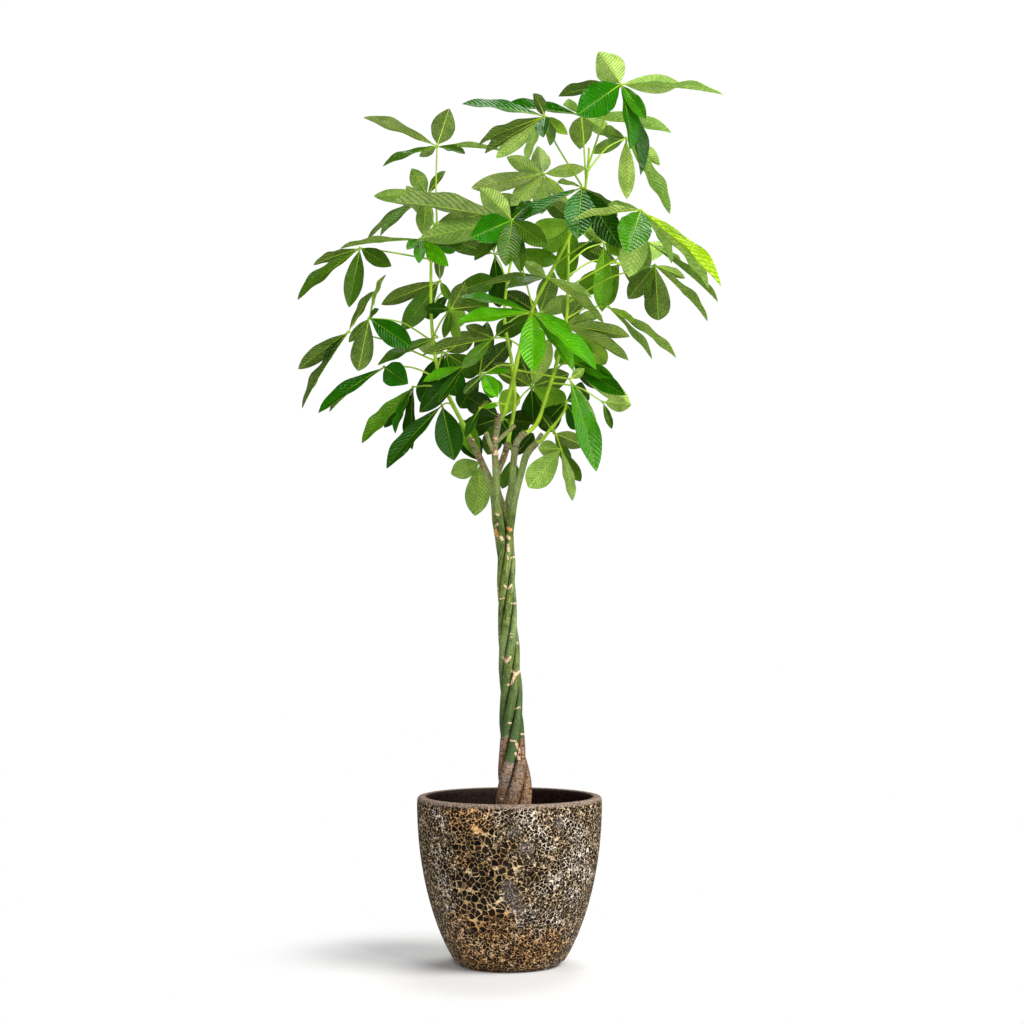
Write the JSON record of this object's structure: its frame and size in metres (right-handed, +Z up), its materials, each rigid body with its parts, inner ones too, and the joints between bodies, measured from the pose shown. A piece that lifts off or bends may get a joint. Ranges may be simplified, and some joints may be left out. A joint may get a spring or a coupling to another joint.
{
  "type": "potted money tree",
  "caption": "Tall indoor money tree with a braided green trunk and hand-shaped leaves in a round planter with a lava-textured glaze.",
  "frame": {"origin": "centre of the planter's flat foot, on the surface that it stands on", "axes": "+Z up along the trunk, -Y towards the front that the picture shows, +X to the right as seen from the front"},
  "size_m": [0.859, 0.54, 1.8348],
  "materials": {
    "glaze": "matte crater glaze, dark brown cells in a cream net",
    "soil": "moist loose potting soil",
    "bark": "smooth green bark with leaf scars, grey-brown and fissured at the base",
    "leaf": "leathery leaf, glossy upper face and matte paler lower face"
  },
  "bodies": {
    "root": {"pot": "glaze", "soil": "soil", "stem_left": "bark", "stem_centre": "bark", "stem_right": "bark", "stem_low_right": "bark", "stem_back": "bark", "shoot_left": "leaf", "shoot_centre": "leaf", "shoot_right": "leaf", "shoot_low_right": "leaf", "shoot_back": "leaf"}
  },
  "joints": []
}
